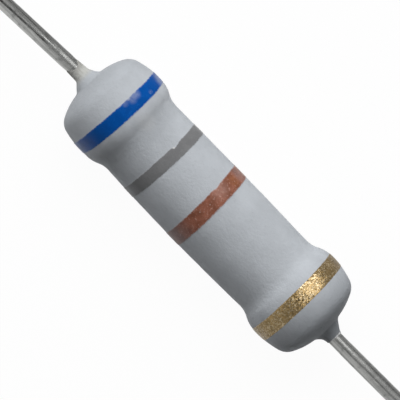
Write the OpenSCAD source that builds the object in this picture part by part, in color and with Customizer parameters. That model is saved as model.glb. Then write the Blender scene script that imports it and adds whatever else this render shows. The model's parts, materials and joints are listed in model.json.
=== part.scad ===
// Axial film resistor: a capped ceramic rod under a dog-bone coat, with four painted bands.
// It lies along X with its first band towards -X, and the middle of its body is the origin.

/* [Ceramic rod] */
// Length of the rod
rod_l = 14.5; // [12:0.5:22]
// Diameter of the rod
rod_d = 3.9; // [3:0.1:6]

/* [Resistive film] */
// Thickness of the film on the rod
film_t = 0.05; // [0.03:0.01:0.1]
// Turns of the trim groove
trim_turns = 7; // [3:1:9]
// Width of the trim groove
trim_w = 0.2; // [0.1:0.05:0.4]
// Uncut film between a cap's rim and the groove
trim_land = 0.6; // [0.3:0.1:1.2]

/* [End caps] */
// Wall of a cap round the film
cap_wall = 0.2; // [0.14:0.02:0.3]
// Thickness of a cap's closed end
cap_end = 0.25; // [0.15:0.05:0.4]
// Length of a cap from its rim to its closed end
cap_l = 2.3; // [1.9:0.1:3.2]
// Outer corner radius of a cap
cap_corner = 0.6; // [0.4:0.05:0.9]

/* [Leads] */
// Diameter of the wire
lead_d = 0.72; // [0.5:0.02:0.9]
// Length of a lead outside the body
lead_l = 25; // [8:1:40]
// Diameter of the weld foot on a cap
weld_d = 1.1; // [1:0.05:1.4]
// Length over which the weld foot tapers to the wire
weld_l = 0.9; // [0.6:0.05:1.1]
// How far off the axis a lead leaves its neck
lead_offset = 0.045; // [0:0.005:0.08]
// Lean of the left lead back across the axis, in degrees
left_lean = 2.9; // [0:0.1:4]
// Lean of the right lead back across the axis, in degrees
right_lean = 0.8; // [0:0.1:4]

/* [Coat] */
// Thickness on the film at the two ends of the waist
coat_waist = 0.18; // [0.1:0.02:0.3]
// Swell of the waist towards its middle
coat_belly = 0.055; // [0.02:0.005:0.12]
// Thickness round a cap
coat_cap = 0.275; // [0.2:0.025:0.5]
// Thickness over a cap's closed end, at the neck
coat_end = 0.5; // [0.45:0.05:0.8]
// Run of the flank before a cap's rim
flank_before = 0.78; // [0.5:0.02:1.2]
// Run of the flank past a cap's rim
flank_past = 0.4; // [0.2:0.05:0.6]
// Level length of the crown over a cap
crown_l = 0.6; // [0.2:0.1:0.8]
// Start of the shoulder past the start of the cap's corner
shoulder_past = 0.25; // [0.15:0.05:0.35]
// Fall from the crown to the start of the shoulder
shoulder_drop = 0.14; // [0.08:0.02:0.2]
// Thickness on the cap's closed end where the shoulder meets the face
brow_t = 0.14; // [0.08:0.02:0.25]
// Height of that place above the start of the cap's corner
brow_rise = 0.335; // [0.25:0.005:0.45]

/* [Necks] */
// Diameter of a neck at the body
neck_d = 1.54; // [1.4:0.02:1.8]
// Length of a neck
neck_l = 0.44; // [0.3:0.02:0.9]
// Hollow of a neck's flare
neck_bow = 0.05; // [0.02:0.005:0.08]
// Thickness of a neck's edge where it is thinnest round its lead
neck_t = 0.02; // [0.02:0.005:0.06]
// Length of the thin run of coat along the left lead
run_l = 0.6; // [0.2:0.1:2]
// Thickness of that run at the neck
run_t = 0.05; // [0.04:0.01:0.08]
// Thickness of that run at its end
run_edge = 0.02; // [0.01:0.005:0.03]

/* [Bands] */
// Thickness of the paint
band_t = 0.04; // [0.03:0.01:0.08]
// Distance from the body's end to the middle of the blue and gold bands
end_band_inset = 2; // [1.7:0.05:2.4]
// Width of the blue band
blue_w = 0.68; // [0.4:0.02:1]
// Width of the grey band
grey_w = 0.6; // [0.4:0.02:1]
// Distance from the body's left end to the middle of the grey band
grey_at = 5.06; // [4.8:0.02:6.5]
// Width of the brown band
brown_w = 0.79; // [0.4:0.01:1]
// Middle of the brown band, left of the body's middle
brown_at = 0.05; // [-0.6:0.05:0.6]
// Width of the gold band
gold_w = 0.77; // [0.4:0.01:1]

/* [Hidden] */
$fn = 96;
// Steps in one turn of the trim groove, and how far its cutter passes the film's two faces
trim_steps = 24;
trim_pass = film_t;
// Straight steps that a bowed stretch of an outline is drawn in
bow_steps = 10;
// How far a cutter or a joined piece runs on past the face it starts from
overrun = 0.2;

// Radii, from the axis outwards
lead_r = lead_d / 2;
film_r = rod_d / 2 + film_t;
cap_r = film_r + cap_wall;
waist_r = film_r + coat_waist;
crown_r = cap_r + coat_cap;

// Places along the axis, from the middle outwards
rod_end = rod_l / 2;
cap_face = rod_end + cap_end;
cap_rim = cap_face - cap_l;
cap_inner_corner = cap_corner - cap_wall;
film_end = rod_end - cap_inner_corner;
trim_end = cap_rim - trim_land;
body_end = cap_face + coat_end;
neck_end_x = body_end + neck_l;
lead_tip = body_end + lead_l;

// Outline of the coat's right half as [along, out], from the end of the waist to the end of the neck
waist_end = [cap_rim - flank_before, waist_r];
crown_start = [cap_rim + flank_past, crown_r];
crown_end = [crown_start.x + crown_l, crown_r];
shoulder = [cap_face - cap_corner + shoulder_past, crown_r - shoulder_drop];
brow = [cap_face + brow_t, cap_r - cap_corner + brow_rise];
neck_root = [body_end, neck_d / 2];
neck_end = [neck_end_x, lead_r + lead_offset + neck_t];
flank_mid = (waist_end + crown_start) / 2;
dome = [crown_end, shoulder, brow, neck_root];
stations = concat([waist_end, flank_mid, crown_start], dome, [neck_end]);

// Angle by which the way from p to q falls below the axis
function fall(p, q) = atan2(p.y - q.y, q.x - p.x);
// Rise of an arc over its chord from p to q, where the outline turns by a given angle
function rise_of(p, q, turn) = norm(q - p) / 2 * tan(turn / 4);
// Points of an arc from p up to, but without, q: it bows outwards by a rise, or inwards by a negative one
function bowed(p, q, rise) =
  let (
    chord = norm(q - p),
    along = (q - p) / chord,
    turn = 4 * atan(2 * rise / chord),
    radius = rise == 0 ? 0 : chord / 2 / sin(turn / 2)
  )
  rise == 0 ? [p] : [
    for (i = [0:bow_steps - 1])
      let (
        angle = turn * (i / bow_steps - 1 / 2),
        run = chord / 2 + radius * sin(angle),
        lift = radius * (cos(angle) - cos(turn / 2))
      )
      p + along * run + [-along.y, along.x] * lift
  ];
// Angle at which the dome's arcs arrive at a station: level at the crown, then each tangent to the last
function arrival(i) = i == 0 ? 0 : 2 * fall(dome[i - 1], dome[i]) - arrival(i - 1);
// The same outline at the other end, from the far end inwards
function mirrored(points) = [for (i = [len(points) - 1:-1:0]) [-points[i].x, points[i].y]];

flank_rise = rise_of(waist_end, flank_mid, -2 * fall(waist_end, crown_start));
dome_rises = [for (i = [1:len(dome) - 1]) rise_of(dome[i - 1], dome[i], arrival(i) - arrival(i - 1))];
rises = concat([-flank_rise, flank_rise, 0], dome_rises, [-neck_bow]);
right_outline = [
  for (i = [0:len(rises) - 1])
    each bowed(stations[i], stations[i + 1], rises[i]),
  neck_end,
  [neck_end_x, 0]
];
belly = bowed([-waist_end.x, waist_r], waist_end, coat_belly);

// Solid turned about the X axis from a half-section drawn as [along, out]
module turned() {
  rotate([0, 90, 0])
    rotate_extrude()
      mirror([1, -1])
        children();
}

// A half-section and its mirror image at the other end of the part
module both_ends() {
  children();
  mirror([1, 0])
    children();
}

// Half-section of a plug from the origin along the axis, with its far edge rounded
module plug(length, radius, edge) {
  square([length - edge, radius]);
  square([length, radius - edge]);
  translate([length - edge, radius - edge])
    circle(edge);
}

// Half-section of a cap with what is in it
module cap_outside() {
  translate([cap_rim, 0])
    plug(cap_l, cap_r, cap_corner);
}

// Half-section of the whole body, filled to the axis
module coat_outside() {
  polygon(concat(mirrored(right_outline), belly, right_outline));
}

// Half-section of what the coat covers, without the leads
module core() {
  translate([-cap_rim, 0])
    square([2 * cap_rim, film_r]);
  both_ends()
    cap_outside();
}

// Turns the right end's lead to where it leaves the neck off the axis and leans back across it
module leaning(angle) {
  translate([neck_end_x, -lead_offset, 0])
    rotate(angle)
      translate([-neck_end_x, 0, 0])
        children();
}

// Wire at the right end with a given lean, from inside the cap's closed end: its foot runs out level with it
module wire(angle) {
  foot = [cap_face, weld_d / 2];
  foot_top = [cap_face + weld_l, lead_r];
  hollow = rise_of(foot, foot_top, 2 * fall(foot, foot_top));
  inside = cap_face - overrun;
  leaning(angle)
    turned()
      polygon(concat(
        [[inside, 0], [inside, foot.y]],
        bowed(foot, foot_top, -hollow),
        [foot_top, [lead_tip, lead_r], [lead_tip, 0]]
      ));
}

// Lead at the right end with a given lean, its weld foot flat on the cap
module lead(angle) {
  difference() {
    wire(angle);
    translate([cap_face - 2 * overrun, -cap_r, -cap_r])
      cube([2 * overrun, 2 * cap_r, 2 * cap_r]);
  }
}

// Run of coat along the wire at the right end, thinning from the neck to its end
module run(angle) {
  root = neck_end_x - overrun;
  tip = neck_end_x + run_l;
  leaning(angle)
    turned()
      polygon([[root, 0], [root, lead_r + run_t], [tip, lead_r + run_edge], [tip, 0]]);
}

// Helical strip that cuts the trim groove through the film
module trim_cutter() {
  steps = trim_turns * trim_steps;
  inner = rod_d / 2 - trim_pass;
  outer = film_r + trim_pass;
  corners = [[-trim_w / 2, inner], [-trim_w / 2, outer], [trim_w / 2, outer], [trim_w / 2, inner]];
  points = [
    for (i = [0:steps])
      let (middle = trim_end * (2 * i / steps - 1), angle = 360 * i / trim_steps)
        for (c = corners)
          [middle + c.x, c.y * cos(angle), c.y * sin(angle)]
  ];
  sides = [
    for (i = [0:steps - 1], j = [0:3])
      let (a = 4 * i + j, b = 4 * i + (j + 1) % 4)
        each [[a, b, b + 4], [a, b + 4, a + 4]]
  ];
  last = 4 * steps;
  ends = [[2, 1, 0], [3, 2, 0], [last, last + 1, last + 2], [last, last + 2, last + 3]];
  polyhedron(points, concat(sides, ends));
}

module ceramic_rod() {
  color("ivory")
    turned()
      both_ends()
        plug(rod_end, rod_d / 2, cap_inner_corner);
}

module resistive_film() {
  color("dimgray")
    difference() {
      turned()
        translate([-film_end, rod_d / 2])
          square([2 * film_end, film_t]);
      trim_cutter();
    }
}

module end_cap() {
  color("silver")
    turned()
      difference() {
        cap_outside();
        plug(rod_end, film_r, cap_inner_corner);
      }
}

module end_cap_left() {
  mirror([1, 0, 0])
    end_cap();
}

module end_cap_right() {
  end_cap();
}

module lead_left() {
  color("darkgray")
    rotate(180)
      lead(left_lean);
}

module lead_right() {
  color("darkgray")
    lead(right_lean);
}

module coating() {
  color("lightslategray")
    difference() {
      union() {
        turned()
          difference() {
            coat_outside();
            core();
          }
        rotate(180)
          run(left_lean);
      }
      rotate(180)
        wire(left_lean);
      wire(right_lean);
    }
}

// Ring of paint on the coat, with its middle at a given place along the axis
module band(middle, width) {
  turned()
    difference() {
      intersection() {
        translate([0, band_t])
          coat_outside();
        translate([middle - width / 2, 0])
          square([width, crown_r + 2 * band_t]);
      }
      coat_outside();
    }
}

module band_blue() {
  color("royalblue")
    band(end_band_inset - body_end, blue_w);
}

module band_grey() {
  color("gray")
    band(grey_at - body_end, grey_w);
}

module band_brown() {
  color("sienna")
    band(-brown_at, brown_w);
}

module band_gold() {
  color("goldenrod")
    band(body_end - end_band_inset, gold_w);
}

ceramic_rod();
resistive_film();
end_cap_left();
end_cap_right();
lead_left();
lead_right();
coating();
band_blue();
band_grey();
band_brown();
band_gold();
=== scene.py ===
"""Looks of an axial film resistor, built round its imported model.

The coat, the painted bands and the leads are remodelled with the unevenness of the real ones. The rod, the
film and the caps under the coat keep their solids and get their finishes. Sizes are in millimetres unless a
name says so.
"""

import bisect
import json
import logging
import math
from collections.abc import Callable
from dataclasses import dataclass, field, replace
from enum import Enum
from functools import cached_property

import bmesh
import bpy
from mathutils import Matrix, Vector, noise


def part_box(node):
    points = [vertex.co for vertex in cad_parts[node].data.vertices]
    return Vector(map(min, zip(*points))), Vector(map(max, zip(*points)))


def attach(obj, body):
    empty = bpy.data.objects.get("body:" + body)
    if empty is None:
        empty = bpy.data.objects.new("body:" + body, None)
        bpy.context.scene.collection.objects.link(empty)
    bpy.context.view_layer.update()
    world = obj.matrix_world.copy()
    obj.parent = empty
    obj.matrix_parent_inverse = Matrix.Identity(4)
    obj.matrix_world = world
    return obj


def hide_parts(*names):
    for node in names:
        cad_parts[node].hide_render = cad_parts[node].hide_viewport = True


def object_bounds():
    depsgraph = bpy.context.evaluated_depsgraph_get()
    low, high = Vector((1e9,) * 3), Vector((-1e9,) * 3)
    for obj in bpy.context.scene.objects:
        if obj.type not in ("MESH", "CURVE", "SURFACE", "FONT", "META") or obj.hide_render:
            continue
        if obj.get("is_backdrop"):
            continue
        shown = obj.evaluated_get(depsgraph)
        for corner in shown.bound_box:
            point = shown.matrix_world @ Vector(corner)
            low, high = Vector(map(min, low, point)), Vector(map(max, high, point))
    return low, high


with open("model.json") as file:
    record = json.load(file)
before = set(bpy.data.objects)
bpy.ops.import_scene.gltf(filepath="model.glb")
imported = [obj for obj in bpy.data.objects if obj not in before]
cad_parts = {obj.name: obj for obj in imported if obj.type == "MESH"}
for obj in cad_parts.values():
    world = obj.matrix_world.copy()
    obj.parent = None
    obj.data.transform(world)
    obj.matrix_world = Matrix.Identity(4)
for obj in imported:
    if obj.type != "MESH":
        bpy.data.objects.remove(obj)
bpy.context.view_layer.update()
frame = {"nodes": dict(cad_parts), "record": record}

MM = 0.001
BODY = "root"
MERGE = 1e-6
SHARP = math.radians(40)
SMOOTHING = 0.5
# Numbers of a Mix node's colour sockets, whose names its other sockets share.
MIX_SHARE, MIX_FIRST, MIX_SECOND, MIX_RESULT = 0, 6, 7, 2

Point = tuple[float, float]
Triple = tuple[float, float, float]
Colour = Triple
Socket = bpy.types.NodeSocket
Material = bpy.types.Material
Inputs = dict[str | int, object]

WHITE: Colour = (1.0, 1.0, 1.0)
# Colour of the bare coat where paint is thin; also the tone of painted highlights, sheen and reflection on
# the bands.
BARE_COAT_AND_PAINTED_LIGHT: Colour = (0.55, 0.57, 0.61)

log = logging.getLogger("resistor")


class End(Enum):
    """The two ends of the part, as the sign of their place on the X axis."""

    LEFT = -1
    RIGHT = 1

    @property
    def side(self) -> str:
        """The end's name as pieces carry it."""
        return self.name.lower()


def clamp(value: float) -> float:
    """Keeps a value between 0 and 1."""
    return min(1.0, max(0.0, value))


def ease(value: float, low: float, high: float) -> float:
    """Smooth step of a value from 0 at low to 1 at high."""
    share = clamp((value - low) / (high - low))
    return share * share * (3 - 2 * share)


def spot_on(x: float, turn: float, radius: float) -> Vector:
    """Place at a turn about the X axis, counted from +Z towards +Y."""
    return Vector((x, radius * math.sin(turn), radius * math.cos(turn)))


def bowed(start: Point, end: Point, rise: float, steps: int) -> list[Point]:
    """Points of an arc from start up to, but without, end.

    Args:
        start: First point as (along, out).
        end: Point that the arc runs to.
        rise: Height of the arc over its chord, outwards if positive.
        steps: Number of points.

    Returns:
        The points in order.
    """
    chord = math.dist(start, end)
    along = ((end[0] - start[0]) / chord, (end[1] - start[1]) / chord)
    turn = 4 * math.atan(2 * rise / chord)
    points = []
    for i in range(steps):
        run, lift = chord * i / steps, 0.0
        if turn:
            radius = chord / 2 / math.sin(turn / 2)
            angle = turn * (i / steps - 0.5)
            run = chord / 2 + radius * math.sin(angle)
            lift = radius * (math.cos(angle) - math.cos(turn / 2))
        x = start[0] + along[0] * run - along[1] * lift
        y = start[1] + along[1] * run + along[0] * lift
        points.append((x, y))
    return points


def fall(start: Point, end: Point) -> float:
    """Angle by which the way from start to end falls below the axis."""
    return math.atan2(start[1] - end[1], end[0] - start[0])


def rise_of(start: Point, end: Point, turn: float) -> float:
    """Rise of an arc over its chord, where the outline turns by a given angle."""
    return math.dist(start, end) / 2 * math.tan(turn / 4)


def mirrored(points: list[Point]) -> list[Point]:
    """The same outline at the other end, from the far end inwards."""
    return [(-x, r) for x, r in reversed(points)]


def linked(name: str, data: bpy.types.ID) -> bpy.types.Object:
    """New object in the scene."""
    made = bpy.data.objects.new(name, data)
    bpy.context.scene.collection.objects.link(made)
    return made


def moulded(name: str, mesh: bmesh.types.BMesh, material: Material) -> bpy.types.Object:
    """New object in the scene from a mesh, which is used up."""
    data = bpy.data.meshes.new(name)
    mesh.to_mesh(data)
    mesh.free()
    data.materials.append(material)
    return linked(name, data)


@dataclass(frozen=True)
class Span:
    """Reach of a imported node."""

    low: Vector
    high: Vector

    @classmethod
    def of(cls, node: str) -> "Span":
        """Reach of the node with that name."""
        low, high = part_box(node)
        return cls(low / MM, high / MM)


@dataclass
class LeadLine:
    """Centre line and radius of the wire at one end.

    It leaves its neck off the axis and leans back across it.
    """

    end: End
    radius: float
    neck_end: float
    cap_face: float
    lean: float
    offset: float = 0.045
    foot_r: float = 0.55
    foot_l: float = 0.9
    foot_steps: int = 8

    @cached_property
    def foot(self) -> list[Point]:
        """Outline of the weld foot, from the cap to where it runs out level with the wire."""
        start, top = (self.cap_face, self.foot_r), (self.cap_face + self.foot_l, self.radius)
        return [*bowed(start, top, -rise_of(start, top, 2 * fall(start, top)), self.foot_steps), top]

    def shift(self, x: float) -> float:
        """How far the wire's middle is off the axis, along Y, at a place on the axis."""
        back = (abs(x) - self.neck_end) * math.tan(self.lean)
        return self.end.value * (back - self.offset)

    def frame(self) -> Matrix:
        """Turns a wire drawn straight along +X to its real place."""
        out = Matrix.Translation((self.neck_end, -self.offset, 0)) @ Matrix.Rotation(self.lean, 4, "Z")
        half_turn = Matrix.Rotation(math.pi, 4, "Z") if self.end is End.LEFT else Matrix.Identity(4)
        return half_turn @ out @ Matrix.Translation((-self.neck_end, 0, 0))


@dataclass
class CoatForm:
    """Outline of the coat, worked out from what it covers, and its unevenness."""

    film_r: float
    cap_r: float
    cap_rim: float
    cap_face: float
    lead_r: float
    waist_t: float = 0.18
    belly: float = 0.055
    cap_t: float = 0.275
    end_t: float = 0.5
    flank_before: float = 0.78
    flank_past: float = 0.4
    crown_l: float = 0.6
    cap_corner: float = 0.6
    shoulder_past: float = 0.25
    shoulder_drop: float = 0.14
    brow_t: float = 0.14
    brow_rise: float = 0.335
    neck_r: float = 0.77
    neck_l: float = 0.44
    neck_bow: float = 0.01
    neck_t: float = 0.065
    arc_steps: int = 16
    belly_steps: int = 72
    slow_pitch: float = 0.42
    slow_swell: float = 0.012
    quick_pitch: float = 1.5
    quick_swell: float = 0.007
    left_heave: float = 0.045
    right_heave: float = 0.02
    waist_heave: float = -0.02
    heave_spread: float = 1.5
    waist_spread: float = 0.5
    left_swell: float = 0.018
    right_swell: float = 0.045
    crown_spread: float = 0.55

    @property
    def body_end(self) -> float:
        """Place along the axis where the end face gives way to the neck."""
        return self.cap_face + self.end_t

    @property
    def neck_end(self) -> float:
        """Place along the axis where the neck ends on its lead."""
        return self.body_end + self.neck_l

    @property
    def crown_r(self) -> float:
        """Largest radius of the coat."""
        return self.cap_r + self.cap_t

    @cached_property
    def right_outline(self) -> list[Point]:
        """Outline of the right half, from the end of the waist to the end of the neck."""
        waist_end = (self.cap_rim - self.flank_before, self.film_r + self.waist_t)
        crown_start = (self.cap_rim + self.flank_past, self.crown_r)
        flank_mid = tuple((a + b) / 2 for a, b in zip(waist_end, crown_start))
        shoulder = (self.cap_face - self.cap_corner + self.shoulder_past, self.crown_r - self.shoulder_drop)
        brow = (self.cap_face + self.brow_t, self.cap_r - self.cap_corner + self.brow_rise)
        dome = [(crown_start[0] + self.crown_l, self.crown_r), shoulder, brow, (self.body_end, self.neck_r)]
        neck_tip = (self.neck_end, self.lead_r + self.neck_t)
        flank = rise_of(waist_end, flank_mid, -2 * fall(waist_end, crown_start))
        points = [
            *bowed(waist_end, flank_mid, -flank, self.arc_steps),
            *bowed(flank_mid, crown_start, flank, self.arc_steps),
            *bowed(crown_start, dome[0], 0, self.arc_steps // 2),
        ]
        arrival = 0.0
        for start, end in zip(dome, dome[1:]):
            leaving = 2 * fall(start, end) - arrival
            points += bowed(start, end, rise_of(start, end, leaving - arrival), self.arc_steps)
            arrival = leaving
        return [*points, *bowed(dome[-1], neck_tip, -self.neck_bow, self.arc_steps), neck_tip]

    @cached_property
    def outline(self) -> list[Point]:
        """Outline from the left neck's end to the right neck's end."""
        start = self.right_outline[0]
        waist = bowed((-start[0], start[1]), start, self.belly, self.belly_steps)
        return [*mirrored(self.right_outline)[:-1], *waist, *self.right_outline]

    @cached_property
    def stations(self) -> list[float]:
        """Places along the axis of the outline's points."""
        return [x for x, _ in self.outline]

    def turned_radius(self, x: float) -> float:
        """Radius of the outline at a place along the axis."""
        i = min(max(bisect.bisect_right(self.stations, x), 1), len(self.stations) - 1)
        (x0, r0), (x1, r1) = self.outline[i - 1], self.outline[i]
        return r0 + (r1 - r0) * (x - x0) / (x1 - x0)

    @property
    def crown(self) -> float:
        """Place along the axis of the middle of a bulge."""
        return self.cap_rim + self.flank_past + self.crown_l / 2

    def heave(self, x: float) -> float:
        """How far the coat sits off the axis, towards +Y, at a place along it."""
        bulge = math.exp(-(((abs(x) - self.crown) / self.heave_spread) ** 2))
        waist = math.exp(-((x / (self.crown * self.waist_spread)) ** 2))
        side = self.right_heave if x > 0 else self.left_heave
        return side * bulge + self.waist_heave * waist

    def swell(self, x: float, turn: float) -> float:
        """Height of the real coat over its turned outline, which runs out before the necks."""
        place = spot_on(x, turn, self.film_r)
        slow = noise.noise(place * self.slow_pitch) * self.slow_swell
        quick = noise.noise(place * self.quick_pitch) * self.quick_swell
        lift = self.heave(x) * math.sin(turn)
        crown = self.right_swell if x > 0 else self.left_swell
        crown *= math.exp(-(((abs(x) - self.crown) / self.crown_spread) ** 2))
        return (slow + quick + lift + crown) * (1 - ease(abs(x), self.cap_face, self.body_end))

    def radius(self, x: float, turn: float) -> float:
        """Radius of the real coat at a place along the axis and a turn about it."""
        return self.turned_radius(x) + self.swell(x, turn)


class Workpiece:
    """A mesh under construction in millimetres, which becomes one piece that rides on the part's body."""

    def __init__(self, name: str) -> None:
        """Starts an empty mesh for the piece with that name."""
        self.name = name
        self.mesh = bmesh.new()
        self.mark = self.mesh.verts.layers.float.new("mark")

    def spin(self, section: list[Point], marks: list[float], steps: int, closed: bool) -> None:
        """Turns a half-section once about the X axis.

        Args:
            section: Points as (along, out).
            marks: A value for each point, which its copies keep.
            steps: Number of steps in the turn.
            closed: Whether the last point joins the first.
        """
        verts = [self.mesh.verts.new((x, 0, r)) for x, r in section]
        for vert, value in zip(verts, marks):
            vert[self.mark] = value
        edges = [self.mesh.edges.new(pair) for pair in zip(verts, verts[1:])]
        if closed:
            edges.append(self.mesh.edges.new((verts[-1], verts[0])))
        bmesh.ops.spin(
            self.mesh,
            geom=[*verts, *edges],
            cent=(0, 0, 0),
            axis=(1, 0, 0),
            angle=math.tau,
            steps=steps,
            use_merge=True,
        )
        bmesh.ops.remove_doubles(self.mesh, verts=self.mesh.verts[:], dist=MERGE)

    def reshape(self, move: Callable[[float, float, float, float], Vector]) -> None:
        """Moves every vertex.

        Args:
            move: Gives the new place from the place along the axis, the turn, the radius and the mark.
        """
        for vert in self.mesh.verts:
            x, y, z = vert.co
            vert.co = move(x, math.atan2(y, z), math.hypot(y, z), vert[self.mark])

    def soften(self, pick: Callable[[float, float], bool], passes: int) -> None:
        """Smooths the vertices whose place along the axis and mark are picked."""
        verts = [v for v in self.mesh.verts if pick(v.co.x, v[self.mark])]
        for _ in range(passes):
            bmesh.ops.smooth_vert(
                self.mesh, verts=verts, factor=SMOOTHING, use_axis_x=True, use_axis_y=True, use_axis_z=True
            )

    def transform(self, matrix: Matrix) -> None:
        """Places the whole mesh."""
        bmesh.ops.transform(self.mesh, matrix=matrix, verts=self.mesh.verts[:])

    def finish(self, material: Material, node: str, slot: str) -> None:
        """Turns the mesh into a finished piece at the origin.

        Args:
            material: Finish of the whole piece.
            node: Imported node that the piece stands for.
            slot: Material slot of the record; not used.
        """
        bmesh.ops.recalc_face_normals(self.mesh, faces=self.mesh.faces[:])
        bmesh.ops.scale(self.mesh, vec=(MM, MM, MM), verts=self.mesh.verts[:])
        for face in self.mesh.faces:
            face.smooth = True
        piece = moulded(self.name, self.mesh, material)
        piece.data.set_sharp_from_angle(angle=SHARP)
        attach(piece, BODY)
        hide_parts(node)
        log.info("%s: %d faces, stands for %s", self.name, len(piece.data.polygons), node)


@dataclass(frozen=True)
class Grain:
    """A noise: waves to the millimetre, the finer ones on top of them, and how much those count."""

    pitch: float
    detail: float = 2.0
    roughness: float = 0.5


@dataclass(frozen=True)
class Ramp:
    """A smooth step from a start to an end between two limits, at first those that hold most of a noise."""

    low: float = 0.3
    high: float = 0.7
    start: float = 0.0
    end: float = 1.0


class Bench:
    """Short hand for laying out the nodes of a material or of the world."""

    def __init__(self, owner: Material | bpy.types.World) -> None:
        """Starts without nodes."""
        owner.use_nodes = True
        self.owner = owner
        self.tree = owner.node_tree
        self.tree.nodes.clear()

    @classmethod
    def named(cls, name: str) -> "Bench":
        """Bench for a new material."""
        return cls(bpy.data.materials.new(name))

    def put(self, socket: Socket, value: object) -> None:
        """Links a socket to another, or sets its own value."""
        if isinstance(value, Socket):
            self.tree.links.new(value, socket)
        elif isinstance(value, tuple) and socket.type == "RGBA":
            socket.default_value = (*value, 1.0)
        else:
            socket.default_value = value

    def node(self, kind: str, inputs: Inputs | None = None, **settings: object) -> bpy.types.Node:
        """Adds a node.

        Args:
            kind: Its type, without the words that all types start with.
            inputs: Values or other sockets for its inputs, by name or number.
            settings: Its properties.

        Returns:
            The node.
        """
        made = self.tree.nodes.new(f"ShaderNode{kind}")
        for key, value in settings.items():
            setattr(made, key, value)
        for key, value in (inputs or {}).items():
            self.put(made.inputs[key], value)
        return made

    def show(self, shader: Socket) -> None:
        """Makes a shader the surface."""
        kind = "OutputWorld" if isinstance(self.owner, bpy.types.World) else "OutputMaterial"
        self.node(kind, {"Surface": shader})

    def surface(self, **values: object) -> Material:
        """The material with a Principled shader, whose inputs are named with underscores for spaces."""
        inputs = {key.replace("_", " "): value for key, value in values.items()}
        self.show(self.node("BsdfPrincipled", inputs).outputs["BSDF"])
        return self.owner

    def place(self, stretch: Triple = (1, 1, 1), turned: float = 0.0) -> Socket:
        """Object coordinates in millimetres, turned about Z and stretched."""
        spot = self.node("TexCoord").outputs["Object"]
        inputs = {"Vector": spot, "Scale": [s / MM for s in stretch], "Rotation": (0, 0, turned)}
        return self.node("Mapping", inputs).outputs["Vector"]

    def along(self, place: Socket) -> Socket:
        """The X part of a place."""
        return self.node("SeparateXYZ", {"Vector": place}).outputs["X"]

    def noise(self, place: Socket, grain: Grain) -> Socket:
        """A noise of about 0.5 on average."""
        inputs = {"Vector": place, "Scale": grain.pitch, "Detail": grain.detail, "Roughness": grain.roughness}
        return self.node("TexNoise", inputs).outputs["Fac"]

    def step(self, value: Socket, ramp: Ramp) -> Socket:
        """A value taken through a ramp."""
        inputs = {"Value": value, "From Min": ramp.low, "From Max": ramp.high}
        inputs |= {"To Min": ramp.start, "To Max": ramp.end}
        return self.node("MapRange", inputs, interpolation_type="SMOOTHSTEP").outputs["Result"]

    def maths(self, operation: str, *values: object) -> Socket:
        """One sum of numbers."""
        return self.node("Math", dict(enumerate(values)), operation=operation).outputs[0]

    def vector(self, operation: str, *values: object) -> Socket:
        """One sum of vectors."""
        return self.node("VectorMath", dict(enumerate(values)), operation=operation).outputs[0]

    def blend(self, share: Socket, first: object, second: object) -> Socket:
        """Colour between two others."""
        inputs = {MIX_SHARE: share, MIX_FIRST: first, MIX_SECOND: second}
        return self.node("Mix", inputs, data_type="RGBA").outputs[MIX_RESULT]

    def layer(self, under: object, tone: object, value: Socket, ramp: Ramp) -> Socket:
        """A tone laid over a colour by as much as a value gives through a ramp."""
        return self.blend(self.step(value, ramp), under, tone)

    def near(self, place: Socket, centre: Vector, inner: float, outer: float) -> Socket:
        """1 within an inner distance of a place, falling to 0 at an outer one."""
        gap = self.node("VectorMath", {0: place, 1: centre}, operation="DISTANCE").outputs["Value"]
        return self.step(gap, Ramp(inner, outer, 1.0, 0.0))

    def relief(self, height: Socket, depth: float) -> Socket:
        """Normal of a relief whose height of 1 is a depth in millimetres."""
        return self.node("Bump", {"Distance": depth * MM, "Height": height}).outputs["Normal"]

    def seen_directly(self) -> Socket:
        """1 for camera, glossy and transmission rays, 0 for the rest."""
        rays = self.node("LightPath").outputs
        seen = self.maths("MAXIMUM", rays["Is Camera Ray"], rays["Is Glossy Ray"])
        return self.maths("MAXIMUM", seen, rays["Is Transmission Ray"])

    def mixed(self, share: Socket, first: bpy.types.Node, second: bpy.types.Node) -> Socket:
        """Shader between two others."""
        return self.node("MixShader", {0: share, 1: first.outputs[0], 2: second.outputs[0]}).outputs[0]


@dataclass(frozen=True)
class Smudge:
    """A spot on the coat darkened with painted shade, or lightened with painted light when its flag is set.
    """

    x: float
    turn_deg: float
    inner: float
    outer: float
    share: float
    painted_light: bool = False

    def middle(self, form: CoatForm) -> Vector:
        """Its middle on the coat."""
        turn = math.radians(self.turn_deg)
        return spot_on(self.x, turn, form.radius(self.x, turn))


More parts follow.
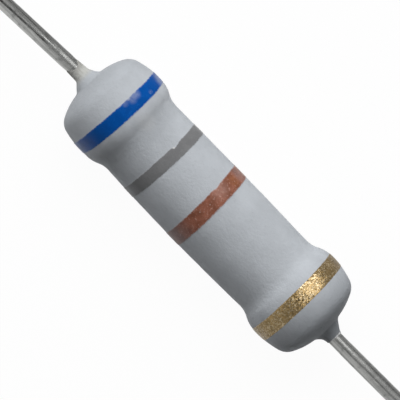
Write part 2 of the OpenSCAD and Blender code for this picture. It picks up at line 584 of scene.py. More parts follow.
@dataclass(frozen=True)
class CoatFinish:
    """Matt flameproof lacquer, finely grained, thin where it runs out on a lead, with painted shade and
    light.
    """

    pale: Colour = (0.555, 0.585, 0.622)
    deep: Colour = (0.50, 0.528, 0.562)
    pit: Colour = (0.38, 0.40, 0.425)
    # Pale dust specks, and the tone of the painted light on the upper left flank.
    dust: Colour = (0.70, 0.71, 0.72)
    # Painted shade: the dark tone laid on the ends, in the ring beside the left bulge and at the shaded
    # spots.
    painted_shade: Colour = (0.25, 0.265, 0.285)
    run: Colour = (0.55, 0.553, 0.525)
    run_stain: Colour = (0.45, 0.445, 0.412)
    run_edge: Colour = (0.37, 0.367, 0.345)
    lip: Colour = (0.74, 0.75, 0.75)
    mottle: Grain = Grain(0.8, 4.0, 0.6)
    grain: Grain = Grain(9.0, 3.0, 0.6)
    peel: Grain = Grain(6.0, 3.0, 0.6)
    specks: Grain = Grain(3.1)
    streaks: Grain = Grain(1.6, 3.0, 0.6)
    streak_stretch: Triple = (0.8, 6.0, 6.0)
    pit_ramp: Ramp = Ramp(0.55, 0.8, end=0.35)
    dust_ramp: Ramp = Ramp(0.7, 0.8, end=0.25)
    # Painted shade on the ends, deepest towards the right neck.
    left_shade_ramp: Ramp = Ramp(6.3, 7.6, end=0.3)
    right_shade_ramp: Ramp = Ramp(6.1, 8.0, end=0.72)
    # Painted shade: a ring on the waist beside the left bulge, where its shadow falls.
    hollow_shade_at: float = -4.38
    hollow_shade_ramp: Ramp = Ramp(0.1, 0.5, 0.15, 0.0)
    streak_ramp: Ramp = Ramp(0.42, 0.68)
    run_edge_ramp: Ramp = Ramp(-8.95, -8.65, 1.0, 0.0)
    run_ramp: Ramp = Ramp(-8.55, -8.2, 1.0, 0.0)
    lip_ramp: Ramp = Ramp(8.53, 8.56)
    roughness: Ramp = Ramp(start=0.58, end=0.72)
    specular: float = 0.16
    relief: float = 0.021
    grain_share: float = 0.5
    # Painted shade by the left bulge and the blue and gold bands; painted light on the upper left flank.
    painted_shading: tuple[Smudge, ...] = (
        Smudge(-4.2, -38.0, 0.7, 1.8, 0.33),
        Smudge(-4.25, 25.0, 0.4, 1.2, 0.15),
        Smudge(-5.42, -12.0, 0.1, 0.5, 0.2),
        Smudge(-5.42, -27.0, 0.1, 0.45, 0.24),
        Smudge(-5.42, -42.0, 0.1, 0.5, 0.2),
        Smudge(-4.95, 17.0, 0.15, 0.65, 0.26, painted_light=True),
        Smudge(5.47, -45.0, 0.1, 0.55, 0.2),
    )

    def material(self, form: CoatForm) -> Material:
        """Makes the lacquer's material.

        Args:
            form: The coat that it is for.

        Returns:
            The material.
        """
        bench = Bench.named("lacquer_blue_grey")
        place = bench.place()
        along = bench.along(place)
        grain = bench.noise(place, self.grain)
        colour = bench.layer(self.deep, self.pale, bench.noise(place, self.mottle), Ramp())
        colour = bench.layer(colour, self.pit, grain, self.pit_ramp)
        colour = bench.layer(colour, self.dust, bench.noise(place, self.specks), self.dust_ramp)
        # Painted shade on both ends of the coat.
        for end, ramp in ((End.LEFT, self.left_shade_ramp), (End.RIGHT, self.right_shade_ramp)):
            reach = bench.step(bench.maths("ABSOLUTE", along), ramp)
            side = bench.maths("GREATER_THAN", bench.maths("MULTIPLY", along, end.value), 0.0)
            colour = bench.blend(bench.maths("MULTIPLY", reach, side), colour, self.painted_shade)
        # Painted shade in the ring beside the left bulge.
        beside = bench.maths("ABSOLUTE", bench.maths("SUBTRACT", along, self.hollow_shade_at))
        colour = bench.layer(colour, self.painted_shade, beside, self.hollow_shade_ramp)
        # Painted shade at single spots, and painted light at the pale one.
        for shading_spot in self.painted_shading:
            reach = bench.near(place, shading_spot.middle(form), shading_spot.inner, shading_spot.outer)
            tone = self.dust if shading_spot.painted_light else self.painted_shade
            colour = bench.blend(bench.maths("MULTIPLY", reach, shading_spot.share), colour, tone)
        streaks = bench.noise(bench.place(self.streak_stretch), self.streaks)
        thin = bench.layer(self.run, self.run_stain, streaks, self.streak_ramp)
        thin = bench.layer(thin, self.run_edge, along, self.run_edge_ramp)
        colour = bench.layer(colour, thin, along, self.run_ramp)
        colour = bench.layer(colour, self.lip, along, self.lip_ramp)
        fine = bench.maths("MULTIPLY", grain, self.grain_share)
        height = bench.maths("ADD", fine, bench.noise(place, self.peel))
        return bench.surface(
            Base_Color=colour,
            Roughness=bench.step(grain, self.roughness),
            Specular_IOR_Level=self.specular,
            Normal=bench.relief(height, self.relief),
        )


@dataclass(frozen=True)
class Patch:
    """A place on a band that a colour covers: worn paint, a speck, painted highlight, painted sheen, painted
    shade, painted reflection.

    Its share is how much of its colour covers the paint, and even is how much of that stays between blotches.
    """

    across: float
    turn_deg: float
    inner: float
    outer: float
    share: float
    even: float = 0.65
    colour: Colour = BARE_COAT_AND_PAINTED_LIGHT


@dataclass(frozen=True)
class PaintFinish:
    """Marking paint rolled on thinly, mottled and broken along its edges, paler where it is seen aslant."""

    name: str
    body: Colour
    light: Colour
    dark: Colour
    under: Colour = BARE_COAT_AND_PAINTED_LIGHT
    grain: Grain = Grain(9.0, 3.0, 0.6)
    mottle: Grain = Grain(2.2, 3.0, 0.6)
    specks: Grain = Grain(8.0)
    stipple: Grain = Grain(13.0)
    blotch: Grain = Grain(6.0, 3.0)
    mottle_ramp: Ramp = Ramp(0.35, 0.65)
    speck_ramp: Ramp = Ramp(0.55, 0.75, end=0.35)
    stipple_ramp: Ramp = Ramp(0.5, 0.72, end=0.5)
    fray_ramp: Ramp = Ramp(start=-0.02, end=0.03)
    edge_ramp: Ramp = Ramp(0.0, 0.08, 0.6, 0.0)
    blotch_ramp: Ramp = Ramp(0.4, 0.62)
    roughness: Ramp = Ramp(start=0.5, end=0.65)
    specular: float = 0.05
    sheen: float = 1.0
    sheen_roughness: float = 0.27
    relief: float = 0.008

    def material(self, patches: list[tuple[Vector, Patch]]) -> Material:
        """Makes the paint's material.

        Args:
            patches: Worn places, specks and places of painted light and shade, with their middles on the
                band.

        Returns:
            The material.
        """
        bench = Bench.named(self.name)
        place = bench.place()
        grain = bench.noise(place, self.grain)
        mottle = bench.noise(place, self.mottle)
        specks = bench.noise(place, self.specks)
        blotch = bench.noise(place, self.blotch)
        colour = bench.layer(self.dark, self.body, mottle, self.mottle_ramp)
        colour = bench.layer(colour, self.light, specks, self.speck_ramp)
        colour = bench.layer(colour, self.dark, bench.noise(place, self.stipple), self.stipple_ramp)
        edge = bench.node("Attribute", attribute_name="edge").outputs["Fac"]
        ragged = bench.maths("ADD", edge, bench.step(specks, self.fray_ramp))
        colour = bench.layer(colour, self.under, ragged, self.edge_ramp)
        # Worn places, specks, and painted highlights, shade and reflection.
        for middle, patch in patches:
            spread = bench.near(place, middle, patch.inner, patch.outer)
            ramp = replace(self.blotch_ramp, start=patch.share * patch.even, end=patch.share)
            broken = bench.step(blotch, ramp)
            colour = bench.blend(bench.maths("MULTIPLY", spread, broken), colour, patch.colour)
        return bench.surface(
            Base_Color=colour,
            Roughness=bench.step(grain, self.roughness),
            Specular_IOR_Level=self.specular,
            Sheen_Weight=self.sheen,
            Sheen_Roughness=self.sheen_roughness,
            Normal=bench.relief(bench.maths("ADD", grain, mottle), self.relief),
        )


@dataclass(frozen=True)
class FlakeFinish:
    """Marking paint full of metal flake, each flake lying at its own slant."""

    name: str = "paint_gold"
    body: Colour = (0.30, 0.204, 0.086)
    light: Colour = (0.76, 0.63, 0.42)
    dark: Colour = (0.21, 0.142, 0.055)
    mottle: Grain = Grain(3.0, 3.0)
    flake_pitch: float = 20.0
    flake_ramp: Ramp = Ramp(0.5, 1.0, end=0.6)
    slant: float = 0.35
    lie: Triple = (-0.26, 0.024, 0.0)
    roughness: Ramp = Ramp(0.0, 1.0, 0.2, 0.42)
    metallic: float = 0.75
    varnish: float = 0.1
    varnish_roughness: float = 0.25

    def material(self, patches: list[tuple[Vector, Patch]]) -> Material:
        """Makes the flake paint's material, which has no worn places."""
        bench = Bench.named(self.name)
        place = bench.place()
        flakes = bench.node("TexVoronoi", {"Vector": place, "Scale": self.flake_pitch}).outputs["Color"]
        tint = bench.node("SeparateColor", {0: flakes}).outputs
        colour = bench.layer(self.dark, self.body, bench.noise(place, self.mottle), Ramp())
        colour = bench.layer(colour, self.light, tint[0], self.flake_ramp)
        rest = [part - self.slant / 2 for part in self.lie]
        lean = bench.vector("MULTIPLY_ADD", flakes, [self.slant] * 3, rest)
        tipped = bench.vector("ADD", bench.node("NewGeometry").outputs["Normal"], lean)
        return bench.surface(
            Base_Color=colour,
            Metallic=self.metallic,
            Roughness=bench.step(tint[1], self.roughness),
            Normal=bench.vector("NORMALIZE", tipped),
            Coat_Weight=self.varnish,
            Coat_Roughness=self.varnish_roughness,
        )


@dataclass(frozen=True)
class TinFinish:
    """Tin plating on drawn wire, streaked along it, with one gloss by the coat and another further out."""

    name: str
    lean: float
    roughness: Ramp
    bright: Colour = (0.41, 0.413, 0.402)
    dull: Colour = (0.28, 0.284, 0.277)
    stain: Colour = (0.14, 0.145, 0.14)
    stretch: Triple = (0.3, 8.0, 8.0)
    streak: Grain = Grain(1.2)
    fleck: Grain = Grain(3.5, 1.0)
    streak_ramp: Ramp = Ramp(0.35, 0.65)
    stain_ramp: Ramp = Ramp(0.55, 0.75, end=0.5)
    fleck_ramp: Ramp = Ramp(start=-0.05, end=0.05)
    metallic: float = 1.0
    relief: float = 0.006

    def material(self) -> Material:
        """Makes the plating's material."""
        bench = Bench.named(self.name)
        place = bench.place()
        streak = bench.noise(bench.place(self.stretch, -self.lean), self.streak)
        fleck = bench.noise(place, self.fleck)
        worn = bench.step(bench.along(place), self.roughness)
        colour = bench.layer(self.dull, self.bright, streak, self.streak_ramp)
        colour = bench.layer(colour, self.stain, fleck, self.stain_ramp)
        return bench.surface(
            Base_Color=colour,
            Metallic=self.metallic,
            Roughness=bench.maths("ADD", worn, bench.step(fleck, self.fleck_ramp)),
            Normal=bench.relief(bench.maths("ADD", streak, fleck), self.relief),
        )


@dataclass(frozen=True)
class HiddenFinish:
    """Finish of a piece under the coat: mottled, with a grain of its own."""

    name: str
    light: Colour
    dark: Colour
    mottle: Grain
    grain: Grain
    roughness: Ramp
    metallic: float
    stretch: Triple = (1, 1, 1)
    relief: float = 0.004

    def material(self) -> Material:
        """Makes the material."""
        bench = Bench.named(self.name)
        place = bench.place(self.stretch)
        mottle = bench.noise(place, self.mottle)
        grain = bench.noise(place, self.grain)
        return bench.surface(
            Base_Color=bench.layer(self.dark, self.light, mottle, Ramp()),
            Metallic=self.metallic,
            Roughness=bench.step(grain, self.roughness),
            Normal=bench.relief(bench.maths("ADD", grain, mottle), self.relief),
        )


@dataclass
class Core:
    """The pieces under the coat, which keep their solids."""

    rod: HiddenFinish = HiddenFinish(
        "rod_ceramic",
        light=(0.80, 0.77, 0.70),
        dark=(0.70, 0.67, 0.60),
        mottle=Grain(1.2, 4.0, 0.6),
        grain=Grain(9.6, 3.0),
        roughness=Ramp(start=0.55, end=0.75),
        metallic=0.0,
    )
    film: HiddenFinish = HiddenFinish(
        "oxide_film",
        light=(0.13, 0.13, 0.14),
        dark=(0.06, 0.06, 0.07),
        mottle=Grain(1.5, 4.0, 0.6),
        grain=Grain(12.0, 3.0),
        roughness=Ramp(start=0.3, end=0.5),
        metallic=0.2,
    )
    cap: HiddenFinish = HiddenFinish(
        "cap_steel",
        light=(0.60, 0.59, 0.56),
        dark=(0.42, 0.41, 0.39),
        mottle=Grain(1.0, 4.0, 0.6),
        grain=Grain(8.0, 3.0),
        roughness=Ramp(start=0.28, end=0.45),
        metallic=1.0,
        stretch=(0.4, 3, 3),
    )

    def dress(self) -> None:
        """Gives each piece its finish."""
        finishes = {"ceramic_rod": self.rod, "resistive_film": self.film}
        for end in End:
            finishes[f"end_cap_{end.side}"] = replace(self.cap, name=f"{self.cap.name}_{end.side}")
        for node, finish in finishes.items():
            materials = frame["nodes"][node].data.materials
            materials.clear()
            materials.append(finish.material())
            log.info("%s: dressed", node)


@dataclass
class Coat:
    """The lacquer skin from neck to neck, with its run on the left lead."""

    form: CoatForm
    leads: dict[End, LeadLine]
    run_l: float = 0.7
    run_t: float = 0.055
    run_edge: float = 0.012
    run_lip: Point = (-0.02, 0.08)
    run_steps: int = 12
    run_wave: float = 0.1
    wave_pitch: float = 1.4
    wave_seed: float = 0.5
    run_bay: float = 0.2
    bay_turn: float = 0.15
    bay_spread: float = 0.75
    end_cut: dict[End, float] = field(default_factory=lambda: {End.LEFT: 0.015, End.RIGHT: 0.03})
    lead_pull: float = 0.15
    neck_slant: float = 0.1
    neck_stretch: float = 1.36
    neck_hollow: float = 0.075
    neck_thin: float = 0.03
    steps: int = 192
    corner_steps: int = 8
    crease_reach: float = 0.14
    crease_passes: int = 8

    def bore(self, end: End) -> list[Point]:
        """Inner outline at one end, from the edge on the lead to the cap's rim and down to the film."""
        form, line = self.form, self.leads[end]
        tip = form.neck_end + (self.run_l if end is End.LEFT else 0.0)
        corner = form.cap_corner
        face = (form.cap_face, form.cap_r - corner)
        wall = (form.cap_face - corner, form.cap_r)
        round_off = rise_of(face, wall, math.pi / 2)
        return [
            (tip, line.radius),
            *reversed(line.foot),
            *bowed(face, wall, -round_off, self.corner_steps),
            wall,
            (form.cap_rim, form.cap_r),
            (form.cap_rim, form.film_r),
        ]

    def run(self) -> list[Point]:
        """Outer outline of the run on the left lead, from its edge to the neck."""
        start = -self.form.neck_end
        line = self.leads[End.LEFT]
        points = []
        for i in range(self.run_steps):
            share = i / self.run_steps
            thick = self.run_edge + (self.run_t - self.run_edge) * share
            radius = line.radius + thick * ease(share, *self.run_lip)
            points.append((start - self.run_l * (1 - share), radius))
        return points

    def section(self) -> tuple[list[Point], list[float]]:
        """Closed half-section, with a mark of 1 on its outside and 0 on its inside."""
        outside = [*self.run(), *self.form.outline]
        inside = [*self.bore(End.RIGHT), *mirrored(self.bore(End.LEFT))]
        return [*outside, *inside], [1.0] * len(outside) + [0.0] * len(inside)

    def settle(self, x: float, turn: float, radius: float, mark: float) -> Vector:
        """Moves a turned vertex to where the real lacquer lies."""
        form = self.form
        line = self.leads[End.RIGHT if x > 0 else End.LEFT]
        on_lead = float(abs(x) >= form.cap_face)
        at_tip = x > form.neck_end - MERGE
        if mark:
            on_lead = ease(abs(x), form.body_end + self.lead_pull, form.neck_end)
            radius += form.swell(x, turn)
        if x > form.body_end and (mark or at_tip):
            share = (x - form.body_end) / form.neck_l
            x = form.body_end + (x - form.body_end) * self.neck_stretch
            radius -= self.neck_hollow * 4 * share * (1 - share) + mark * self.neck_thin * share * share
        place = spot_on(x, turn, radius)
        place.y += line.shift(x) * on_lead
        if mark:
            cut = self.end_cut[line.end] * max(0.0, place.y * line.end.value)
            place.x -= line.end.value * cut * ease(abs(x), form.cap_face - form.cap_corner, form.body_end)
        if x > form.body_end:
            place.x += self.neck_slant * place.y * ease(x, form.body_end, form.neck_end)
        if x < -form.neck_end:
            share = (-x - form.neck_end) / self.run_l
            wave = noise.noise(Vector((math.sin(turn), math.cos(turn), self.wave_seed)) * self.wave_pitch)
            bay = self.run_bay * math.exp(-(((turn - self.bay_turn) / self.bay_spread) ** 2))
            place.x += (self.run_wave * wave + bay) * share
        return place

    def creased(self, x: float, mark: float) -> bool:
        """Whether a vertex is on the outside by the crease between an end face and its neck."""
        return bool(mark) and abs(abs(x) - self.form.body_end) < self.crease_reach

    def build(self, finish: CoatFinish) -> None:
        """Builds and dresses the coat."""
        piece = Workpiece("coat_skin")
        section, marks = self.section()
        piece.spin(section, marks, self.steps, closed=True)
        piece.reshape(self.settle)
        piece.soften(self.creased, self.crease_passes)
        piece.finish(finish.material(self.form), "coating", "coat")


@dataclass(frozen=True)
class Nick:
    """A bite out of the left edge of a band, with its reach on either side of its deepest point."""

    turn_deg: float
    above_deg: float
    below_deg: float
    depth: float

    def bite(self, turn: float) -> float:
        """How far the edge is set back at a turn about the axis."""
        off = math.degrees(math.remainder(turn - math.radians(self.turn_deg), math.tau))
        reach = self.above_deg if off > 0 else self.below_deg
        return self.depth * math.exp(-((off / reach) ** 2))


@dataclass
class Band:
    """One ring of paint on the coat."""

    node: str
    form: CoatForm
    finish: PaintFinish | FlakeFinish
    patches: list[Patch] = field(default_factory=list)
    nicks: list[Nick] = field(default_factory=list)
    seed: float = 0.0
    tilt: float = 0.0
    nudge: float = -0.035
    widen: float = 0.035
    edge_wave: float = 0.016
    wave_pitch: float = 3.0
    wave_gap: float = 7.3
    frill_share: float = 0.25
    frill_pitch: float = 10.0
    frill_gap: float = 5.1
    feather: float = 0.012
    thickness: float = 0.016
    sunk: float = 0.006
    edge_height: float = 0.55
    steps: int = 288
    across_steps: int = 14

    @cached_property
    def span(self) -> Point:
        """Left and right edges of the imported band."""
        reach = Span.of(self.node)
        return reach.low.x, reach.high.x

    def edges(self, turn: float) -> Point:
        """Left and right edges of the real band at a turn about the axis."""
        lean = self.tilt * self.form.crown_r * math.sin(turn)
        ring = Vector((math.sin(turn), math.cos(turn), self.seed))
        edges = []
        for side, (edge, out) in enumerate(zip(self.span, (-self.feather, self.feather))):
            wave = noise.noise(ring * self.wave_pitch + Vector((0, 0, side * self.wave_gap)))
            frill = noise.noise(ring * self.frill_pitch + Vector((0, 0, side * self.frill_gap)))
            edges.append(edge + self.nudge + lean + out + self.edge_wave * (wave + self.frill_share * frill))
        bites = sum(nick.bite(turn) for nick in self.nicks)
        return edges[0] + bites, edges[1] + self.widen * max(0.0, math.cos(turn))

    def place(self, across: float, turn: float, height: float) -> Vector:
        """Place on the real band at a share of its width, a turn and a height over the coat."""
        left, right = self.edges(turn)
        x = left + (right - left) * across
        return spot_on(x, turn, self.form.radius(x, turn) + height)

    def section(self) -> tuple[list[Point], list[float]]:
        """Closed half-section, its marks the height over the coat as a share of the paint's thickness."""
        left, right = self.span
        count = self.across_steps
        shares = [i / count for i in range(count + 1)]
        lift = [self.form.crown_r + self.thickness] * (count + 1)
        top = [(left + (right - left) * s, r) for s, r in zip(shares, lift)]
        under = [(x, r - self.thickness) for x, r in reversed(top)]
        rounded = [self.edge_height if s in (0.0, 1.0) else 1.0 for s in shares]
        return [*top, *under], [*rounded, *([0.0] * len(under))]

    def lay(self, x: float, turn: float, radius: float, mark: float) -> Vector:
        """Moves a turned vertex on to the coat."""
        left, right = self.span
        height = mark * self.thickness - self.sunk * (mark == 0.0)
        return self.place((x - left) / (right - left), turn, height)

    def build(self) -> None:
        """Builds and dresses the band."""
        piece = Workpiece(f"{self.node}_paint")
        section, marks = self.section()
        piece.spin(section, marks, self.steps, closed=True)
        left, right = self.span
        edge = piece.mesh.verts.layers.float.new("edge")
        for vert in piece.mesh.verts:
            vert[edge] = min(vert.co.x - left, right - vert.co.x) / (right - left)
        piece.reshape(self.lay)
        spots = [(self.place(p.across, math.radians(p.turn_deg), 0.0), p) for p in self.patches]
        slot = self.node.replace("band", "paint")
        piece.finish(self.finish.material(spots), self.node, slot)


@dataclass
class Lead:
    """One tinned wire with its weld foot and its nipped-off tip."""

    line: LeadLine
    tip: float
    roughness: Ramp
    dent: float = 0.006
    dent_pitch: float = 1.6
    dent_seed: float = 40.0
    dent_rise: float = 1.0
    nip: float = 0.08
    nip_bow: float = 0.016
    nip_steps: int = 4
    bare_from: float = 0.7
    bare_to: float = 1.1
    plating: float = 0.012
    steps: int = 48
    ring_step: float = 0.2

    @property
    def node(self) -> str:
        """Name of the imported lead."""
        return f"lead_{self.line.end.side}"

    def section(self) -> list[Point]:
        """Half-section of the straight wire from the middle of its foot to the middle of its tip."""
        foot = self.line.foot
        radius = self.line.radius
        start = foot[-1][0]
        count = round((self.tip - self.nip - start) / self.ring_step)
        wire = bowed((start, radius), (self.tip - self.nip, radius), 0, count)
        shoulder = (self.tip - self.nip, radius)
        edge = (self.tip, radius - self.nip)
        nipped = bowed(shoulder, edge, self.nip_bow, self.nip_steps)
        return [(foot[0][0], 0.0), *foot[:-1], *wire, *nipped, edge, (self.tip, 0.0)]

    def wear(self, x: float, turn: float, radius: float, mark: float) -> Vector:
        """Gives the wire its plating past the coat, and the slight dents of handling."""
        place = spot_on(x, turn, radius)
        offset = Vector((0, 0, self.dent_seed * self.line.end.value))
        past_neck = ease(x, self.line.neck_end, self.line.neck_end + self.dent_rise)
        dent = noise.noise((place + offset) * self.dent_pitch) * self.dent * past_neck
        dent += self.plating * ease(x - self.line.neck_end, self.bare_from, self.bare_to)
        return spot_on(x, turn, max(0.0, radius + dent * (radius > self.line.radius / 2)))

    def build(self) -> None:
        """Builds and dresses the lead."""
        piece = Workpiece(f"{self.node}_wire")
        section = self.section()
        piece.spin(section, [0.0] * len(section), self.steps, closed=False)
        piece.reshape(self.wear)
        piece.transform(self.line.frame())
        finish = TinFinish(f"tin_{self.line.end.side}", self.line.lean, self.roughness)
        piece.finish(finish.material(), self.node, "tinned_wire")


@dataclass(frozen=True)
class Softbox:
    """A square lamp turned to the part, at whose level a white face that looks at it renders."""

    name: str
    direction: Triple
    distance: float
    side: float
    level: float

    def build(self) -> None:
        """Sets up the lamp, unseen by the camera."""
        data = bpy.data.lights.new(self.name, "AREA")
        data.shape = "SQUARE"
        data.size = self.side * MM
        data.energy = self.level * (math.pi * self.distance * MM) ** 2
        lamp = linked(self.name, data)
        direction = Vector(self.direction).normalized()
        lamp.location = direction * self.distance * MM
        lamp.rotation_mode = "QUATERNION"
        lamp.rotation_quaternion = direction.to_track_quat("Z", "Y")
        lamp.visible_camera = False


@dataclass(frozen=True)
class Panel:
    """A square of the stage, placed by its middle; an upright one faces the part's side."""

    name: str
    side: float
    middle: Triple
    level: float = 0.0
    upright: bool = False

    def build(self, material: Material) -> bpy.types.Object:
        """Adds the panel to the stage with a finish."""
        turn = Matrix.Rotation(math.pi / 2 if self.upright else 0.0, 4, "X")
        place = Matrix.Translation(Vector(self.middle) * MM) @ turn
        mesh = bmesh.new()
        bmesh.ops.create_grid(mesh, x_segments=2, y_segments=2, size=self.side * MM / 2)
        bmesh.ops.transform(mesh, matrix=place, verts=mesh.verts[:])
        made = moulded(self.name, mesh, material)
        made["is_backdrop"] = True
        return made

    def flag(self) -> None:
        """Sets the panel up so that only reflections show it, for bare metal to mirror at its level."""
        bench = Bench.named(f"{self.name}_dim")
        bench.show(bench.node("Emission", {"Strength": self.level}).outputs[0])
        made = self.build(bench.owner)
        made.visible_camera = False
        made.visible_diffuse = False
        made.visible_shadow = False


@dataclass
class Studio:
    """Floor, light and camera, with the panels that metal mirrors."""

    key: Softbox = Softbox("key_softbox", (-0.45, 0.52, 0.72), distance=220.0, side=215.0, level=1.17)
    fill: Softbox = Softbox("fill_softbox", (-0.93, -0.28, 0.25), distance=220.0, side=120.0, level=0.12)
    ambient: float = 0.03
    floor_side: float = 3000.0
    floor_white: float = 0.8
    floor_glow: float = 1.01
    floor_shadow: float = 0.045
    room: tuple[Panel, ...] = (
        Panel("ceiling", 1500.0, (0.0, -200.0, 450.0), 0.32),
        Panel("wall", 900.0, (0.0, 500.0, 0.0), 0.2, upright=True),
    )
    card: Panel = Panel("card", 60.0, (0.0, 33.0, 0.2), 0.5)
    panels: tuple[Panel, ...] = (
        Panel("bounce_left", 30.0, (-20.5, -12.0, 13.0), 1.0, upright=True),
        Panel("bounce_right", 30.0, (23.7, -12.0, 9.0), 0.86, upright=True),
        Panel("bounce_gold", 12.0, (6.0, -13.0, 3.0), 0.57, upright=True),
        Panel("card_gold", 12.0, (6.1, -9.0, -2.3), 0.65),
        Panel("strip_left", 34.0, (-19.0, -2.0, 60.0), 0.06),
        Panel("strip_right", 30.0, (23.7, -9.0, 60.0), 0.24),
        Panel("glare_left", 30.0, (-25.2, 16.0, 15.0), 0.42),
        Panel("glare_right", 30.0, (23.7, 16.0, 15.0), 0.5),
    )
    lens: float = 1500.0
    sensor: float = 36.0
    clip_share: float = 0.1
    frame_width: float = 18.69
    roll_deg: float = 45.84
    tilt_deg: float = 4.0
    aim: Triple = (-0.44, -0.07, 0.0)

    def floor(self, height: float) -> None:
        """Lays a white floor that keeps a light shadow.

        Args:
            height: Level of the floor in metres.
        """
        bench = Bench.named("floor_white")
        matt = bench.node("BsdfDiffuse", {"Color": (self.floor_white,) * 3})
        glow = bench.node("Emission", {"Strength": self.floor_glow})
        share = bench.maths("MULTIPLY", bench.seen_directly(), 1 - self.floor_shadow)
        bench.show(bench.mixed(share, matt, glow))
        Panel("floor", self.floor_side, (0.0, 0.0, height / MM)).build(bench.owner)

    def flags(self, height: float) -> None:
        """Sets up what metal mirrors: a dim ceiling and wall, a card beside the part and small panels.

        Args:
            height: Level of the floor in metres.
        """
        x, y, lift = self.card.middle
        card = replace(self.card, middle=(x, y, height / MM + lift))
        for panel in (*self.room, card, *self.panels):
            panel.flag()

    def light(self) -> None:
        """Makes the soft lamps and the even light of the room."""
        self.key.build()
        self.fill.build()
        bench = Bench(bpy.data.worlds.new("white_room"))
        dim = bench.node("Background", {"Color": WHITE, "Strength": self.ambient})
        white = bench.node("Background", {"Color": WHITE})
        bench.show(bench.mixed(bench.seen_directly(), dim, white))
        bpy.context.scene.world = bench.owner

    def camera(self) -> None:
        """Sets a long lens over the part, with its first band towards the upper left and a little nearer."""
        tilt, roll = math.radians(self.tilt_deg), math.radians(self.roll_deg)
        back = Vector((-math.sin(tilt), 0, math.cos(tilt)))
        along = Vector((math.cos(tilt), 0, math.sin(tilt)))
        across = Vector((0, 1, 0))
        right = along * math.cos(roll) + across * math.sin(roll)
        up = across * math.cos(roll) - along * math.sin(roll)
        distance = self.frame_width * self.lens / self.sensor
        place = (Vector(self.aim) + back * distance) * MM
        data = bpy.data.cameras.new("camera")
        data.lens = self.lens
        data.sensor_width = self.sensor
        data.clip_start = distance * MM * self.clip_share
        data.clip_end = self.floor_side * MM
        camera = linked("camera", data)
        camera.matrix_world = Matrix((right, up, back)).transposed().to_4x4()
        camera.location = place
        bpy.context.scene.camera = camera


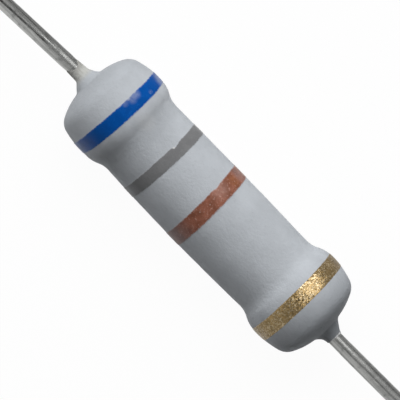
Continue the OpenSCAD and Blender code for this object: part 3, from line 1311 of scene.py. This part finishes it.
@dataclass
class Resistor:
    """The whole part."""

    left_lean: float = math.radians(2.9)
    right_lean: float = math.radians(0.8)
    left_roughness: Ramp = Ramp(-11.0, -10.4, 0.22, 0.37)
    right_roughness: Ramp = Ramp(8.6, 9.2, 0.36, 0.29)

    @cached_property
    def form(self) -> CoatForm:
        """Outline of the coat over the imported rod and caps."""
        cap = Span.of("end_cap_right")
        return CoatForm(
            film_r=Span.of("resistive_film").high.z,
            cap_r=cap.high.z,
            cap_rim=cap.low.x,
            cap_face=cap.high.x,
            lead_r=self.lead_r,
        )

    @property
    def lead_r(self) -> float:
        """Radius of the wire, from the record's pin."""
        return frame["record"]["mounts"][0]["dims"]["r_mm"]

    @cached_property
    def lines(self) -> dict[End, LeadLine]:
        """Centre lines of both leads."""
        leans = {End.LEFT: self.left_lean, End.RIGHT: self.right_lean}
        return {
            end: LeadLine(end, self.lead_r, self.form.neck_end, self.form.cap_face, lean)
            for end, lean in leans.items()
        }

    def lead_tip(self, end: End) -> float:
        """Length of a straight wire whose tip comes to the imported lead's end."""
        reach = Span.of(f"lead_{end.side}")
        far = reach.high.x if end is End.RIGHT else -reach.low.x
        line = self.lines[end]
        side = math.sin(line.lean) * line.radius
        return line.neck_end + (far - side - line.neck_end) / math.cos(line.lean)

    def bands(self) -> list[Band]:
        """The four bands, from the left."""
        blue = PaintFinish(
            "paint_blue",
            body=(0.0, 0.09, 0.41),
            light=(0.01, 0.12, 0.48),
            dark=(0.0, 0.076, 0.35),
        )
        grey = PaintFinish(
            "paint_grey",
            body=(0.22, 0.222, 0.226),
            light=(0.27, 0.272, 0.276),
            dark=(0.195, 0.197, 0.202),
        )
        brown = PaintFinish(
            "paint_brown",
            body=(0.335, 0.132, 0.086),
            light=(0.55, 0.34, 0.28),
            dark=(0.22, 0.082, 0.05),
            specks=Grain(9.0),
            speck_ramp=Ramp(0.55, 0.75, end=0.6),
            stipple_ramp=Ramp(0.5, 0.72, end=0.7),
        )
        # Painted reflection: each band paler on its underside, as if the white floor were mirrored there.
        painted_reflection = Patch(0.5, -80.0, 0.3, 1.25, 0.32, even=0.9)
        speck = Patch(0.45, 3.0, 0.01, 0.05, 0.6, colour=(0.66, 0.56, 0.50))
        blue_patches = [
            # Painted shade: the blue darker on its lower side.
            Patch(0.5, -42.0, 0.3, 1.1, 0.35, even=0.9, colour=(0.0, 0.07, 0.25)),
            # Painted highlight: pale smears at the left edge, where the key light is mirrored.
            Patch(0.14, 29.0, 0.06, 0.34, 0.34, even=0.7),
            Patch(0.2, 22.0, 0.04, 0.34, 0.26, even=0.7),
            Patch(0.0, 19.0, 0.03, 0.15, 0.75),
            Patch(0.1, 13.0, 0.04, 0.24, 0.24),
            Patch(0.7, 45.0, 0.02, 0.17, 0.4, even=0.2),
            # Painted sheen: paler by the top outline.
            Patch(0.8, 75.0, 0.15, 0.6, 0.36),
            replace(painted_reflection, outer=2.0, share=0.28),
        ]
        grey_patches = [
            # Painted highlight: a pale glint on the step of the nick.
            Patch(0.0, 20.0, 0.03, 0.1, 0.9, even=0.9, colour=(0.74, 0.74, 0.73)),
            painted_reflection,
        ]
        brown_patches = [
            # Painted highlight: a paler pink place where the key light is mirrored.
            Patch(0.2, 24.0, 0.06, 0.7, 0.36, colour=(0.64, 0.42, 0.36)),
            # Painted sheen: paler by the top outline.
            Patch(0.5, 66.0, 0.2, 0.6, 0.14),
            Patch(0.5, 50.0, 0.1, 0.5, 0.45, even=0.6, colour=(0.40, 0.15, 0.06)),
            speck,
            replace(speck, across=0.35, turn_deg=-12.0),
            replace(painted_reflection, outer=2.1, share=0.36),
        ]
        grey_nick = Nick(turn_deg=22.0, above_deg=7.5, below_deg=3.0, depth=0.1)
        brown_nick = Nick(turn_deg=23.0, above_deg=5.0, below_deg=4.0, depth=0.05)
        return [
            Band(
                "band_blue",
                self.form,
                blue,
                blue_patches,
                seed=1.7,
                tilt=0.04,
                nudge=-0.055,
                widen=0.1,
                feather=-0.008,
            ),
            Band("band_grey", self.form, grey, grey_patches, [grey_nick], seed=4.1, tilt=0.03),
            Band("band_brown", self.form, brown, brown_patches, [brown_nick], seed=8.3, tilt=-0.014),
            Band("band_gold", self.form, FlakeFinish(), seed=12.9, widen=0.01),
        ]

    def build(self) -> None:
        """Builds and dresses every piece in order."""
        Core().dress()
        roughness = {End.LEFT: self.left_roughness, End.RIGHT: self.right_roughness}
        for end, line in self.lines.items():
            Lead(line, self.lead_tip(end), roughness[end]).build()
        Coat(self.form, self.lines).build(CoatFinish())
        for band in self.bands():
            band.build()


def main() -> None:
    """Builds the part, then the studio round it."""
    logging.basicConfig(level=logging.INFO, format="%(name)s: %(message)s")
    bpy.context.scene.view_settings.view_transform = "Standard"
    Resistor().build()
    studio = Studio()
    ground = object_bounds()[0].z
    studio.floor(ground)
    studio.flags(ground)
    studio.light()
    studio.camera()


if __name__ == "__main__":
    main()
